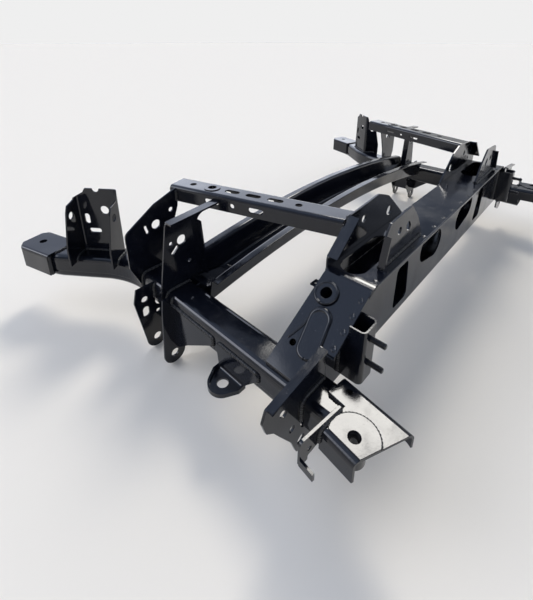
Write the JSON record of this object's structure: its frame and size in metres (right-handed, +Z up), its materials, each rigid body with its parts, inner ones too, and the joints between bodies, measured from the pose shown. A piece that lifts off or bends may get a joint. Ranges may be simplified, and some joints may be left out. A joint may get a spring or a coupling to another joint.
{
  "type": "rear suspension subframe",
  "caption": "Welded sheet-steel vehicle subframe: two swept side rails, boxed rear beam, arched front crossmember, struts and arm brackets, gloss black.",
  "frame": {"origin": "on the ground plane under the middle of the outline, with the lowest bracket edge at Z = 0", "axes": "+X to the vehicle's right, +Y to its front, +Z up"},
  "size_m": [1.203, 0.7496, 0.2848],
  "materials": {
    "black_paint": "gloss"
  },
  "bodies": {
    "root": {"rear_beam_front_shell": "black_paint", "rear_beam_rear_plate": "black_paint", "front_crossmember": "black_paint", "left_side_rail_upper": "black_paint", "left_side_rail_lower": "black_paint", "left_rear_mount_cap": "black_paint", "left_rear_mount_sleeve": "black_paint", "left_front_mount_cap": "black_paint", "left_front_mount_sleeve": "black_paint", "left_front_arm_bracket": "black_paint", "left_arm_bracket_front_plate": "black_paint", "left_arm_bracket_rear_plate": "black_paint", "left_strut": "black_paint", "left_link_bracket_front_wall": "black_paint", "left_link_bracket_rear_wall": "black_paint", "left_bush_sleeve": "black_paint", "left_lower_clevis_front_ear": "black_paint", "left_lower_clevis_rear_ear": "black_paint", "left_drop_bracket": "black_paint", "left_rear_gusset_plate": "black_paint", "left_rear_hook_plate": "black_paint", "left_stud_bracket": "black_paint", "left_studs": "black_paint", "left_crossmember_gusset": "black_paint", "left_line_tab": "black_paint", "right_side_rail_upper": "black_paint", "right_side_rail_lower": "black_paint", "right_rear_mount_cap": "black_paint", "right_rear_mount_sleeve": "black_paint", "right_front_mount_cap": "black_paint", "right_front_mount_sleeve": "black_paint", "right_front_arm_bracket": "black_paint", "right_arm_bracket_front_plate": "black_paint", "right_arm_bracket_rear_plate": "black_paint", "right_strut": "black_paint", "right_link_bracket_front_wall": "black_paint", "right_link_bracket_rear_wall": "black_paint", "right_bush_sleeve": "black_paint", "right_lower_clevis_front_ear": "black_paint", "right_lower_clevis_rear_ear": "black_paint", "right_drop_bracket": "black_paint", "right_rear_gusset_plate": "black_paint", "right_rear_hook_plate": "black_paint", "right_stud_bracket": "black_paint", "right_studs": "black_paint", "right_crossmember_gusset": "black_paint", "right_line_tab": "black_paint"}
  },
  "joints": []
}
